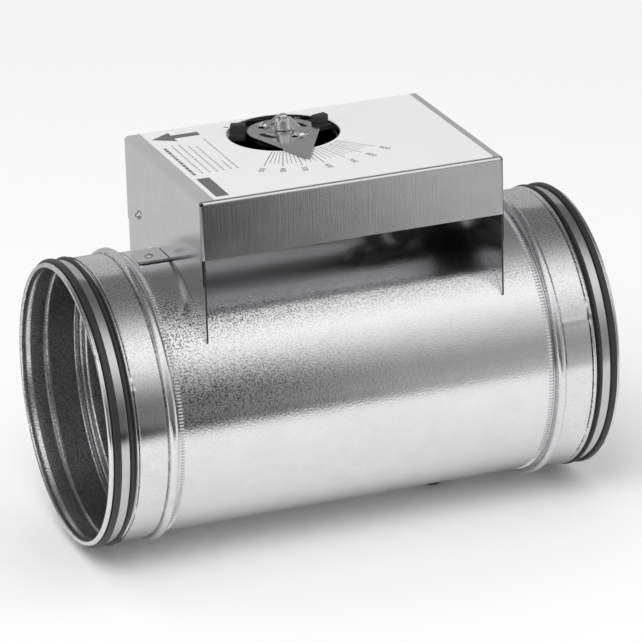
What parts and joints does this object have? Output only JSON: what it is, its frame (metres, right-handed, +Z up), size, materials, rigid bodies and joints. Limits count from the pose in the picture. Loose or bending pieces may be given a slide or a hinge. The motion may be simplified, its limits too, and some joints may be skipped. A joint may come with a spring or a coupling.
{
  "type": "volume control damper",
  "caption": "Round galvanised duct section with push-in sealed ends, a spring-loaded round blade, and a sheet housing whose black dial and pointer set the air flow.",
  "frame": {"origin": "middle of the duct's length, on the duct's axis", "axes": "+X along the duct, against the air flow; +Z up through the dial; +Y away from the side with the pointer"},
  "size_m": [0.302, 0.1646, 0.2253],
  "materials": {
    "galvanised_sheet": "bright galvanised",
    "bright_steel": "bright",
    "zinc_plated_steel": "zinc plated",
    "dark_spring_steel": "phosphated",
    "rivet_aluminium": "plain",
    "seal_rubber": "matt",
    "white_label": "printed film",
    "black_plastic": "fine moulded grain",
    "bearing_plastic": "moulded",
    "gear_plastic": "moulded"
  },
  "bodies": {
    "duct_body": {"duct_tube": "galvanised_sheet", "upstream_collar": "galvanised_sheet", "downstream_collar": "galvanised_sheet", "upstream_gasket": "seal_rubber", "downstream_gasket": "seal_rubber", "upstream_clamp_band": "bright_steel", "downstream_clamp_band": "bright_steel", "carrier_plate": "galvanised_sheet", "end_brackets": "galvanised_sheet", "foot_rivets": "rivet_aluminium", "cover": "galvanised_sheet", "cover_screws": "zinc_plated_steel", "scale_label": "white_label", "upper_bearing": "bearing_plastic", "lower_bearing": "bearing_plastic", "dial_stud": "zinc_plated_steel", "stop_post": "zinc_plated_steel", "damper_housing": "black_plastic", "damper_screws": "zinc_plated_steel"},
    "dial": {"dial_disc": "black_plastic", "pointer_plate": "zinc_plated_steel", "pointer_screws": "zinc_plated_steel", "pointer_washers": "zinc_plated_steel", "nut_washer": "zinc_plated_steel", "dial_pin": "zinc_plated_steel", "dial_pin_clip": "dark_spring_steel"},
    "wing_nut": {"wing_nut": "zinc_plated_steel"},
    "link": {"link_rod": "zinc_plated_steel"},
    "setting_arm": {"setting_arm": "zinc_plated_steel", "arm_pin": "zinc_plated_steel", "arm_pin_clip": "dark_spring_steel"},
    "blade": {"blade_axle": "zinc_plated_steel", "damper_blade": "galvanised_sheet", "blade_clamps": "galvanised_sheet", "blade_rivets": "rivet_aluminium", "axle_clips": "dark_spring_steel", "sector_gear": "gear_plastic", "sector_grub_screw": "dark_spring_steel", "torsion_spring": "dark_spring_steel"},
    "pinion": {"damper_pinion": "gear_plastic"}
  },
  "joints": [
    {"name": "dial_turn", "type": "hinge", "parent": "duct_body", "child": "dial", "pos_m": [-0.006, 0.0284, 0.123], "axis": [0, 0, 1], "range_deg": [-26.5, 44.3]},
    {"name": "wing_nut_turn", "type": "hinge", "parent": "duct_body", "child": "wing_nut", "pos_m": [-0.006, 0.0284, 0.133], "axis": [0, 0, 1], "range_deg": [0, 180]},
    {"name": "link_turn", "type": "hinge", "parent": "dial", "child": "link", "pos_m": [-0.00183, 0.04591, 0.1152], "axis": [0, 0, 1], "range_deg": [-44.3, 26.5]},
    {"name": "arm_turn", "type": "hinge", "parent": "duct_body", "child": "setting_arm", "pos_m": [0.0674, 0, 0.1132], "axis": [0, 0, 1], "range_deg": [-26.5, 44.3]},
    {"name": "blade_turn", "type": "hinge", "parent": "duct_body", "child": "blade", "pos_m": [0.0674, 0, 0], "axis": [0, 0, 1], "range_deg": [0, 70], "stiffness_Nm_per_rad": 0.06, "springref_deg": -11.46},
    {"name": "pinion_turn", "type": "hinge", "parent": "duct_body", "child": "pinion", "pos_m": [0.03463, -0.02294, 0.1025], "axis": [0, 0, 1], "range_deg": [-280, 0]}
  ],
  "couplings": [
    {"joint": "link_turn", "follows": "dial_turn", "ratio": -1},
    {"joint": "arm_turn", "follows": "dial_turn", "ratio": 1},
    {"joint": "pinion_turn", "follows": "blade_turn", "ratio": -4}
  ]
}
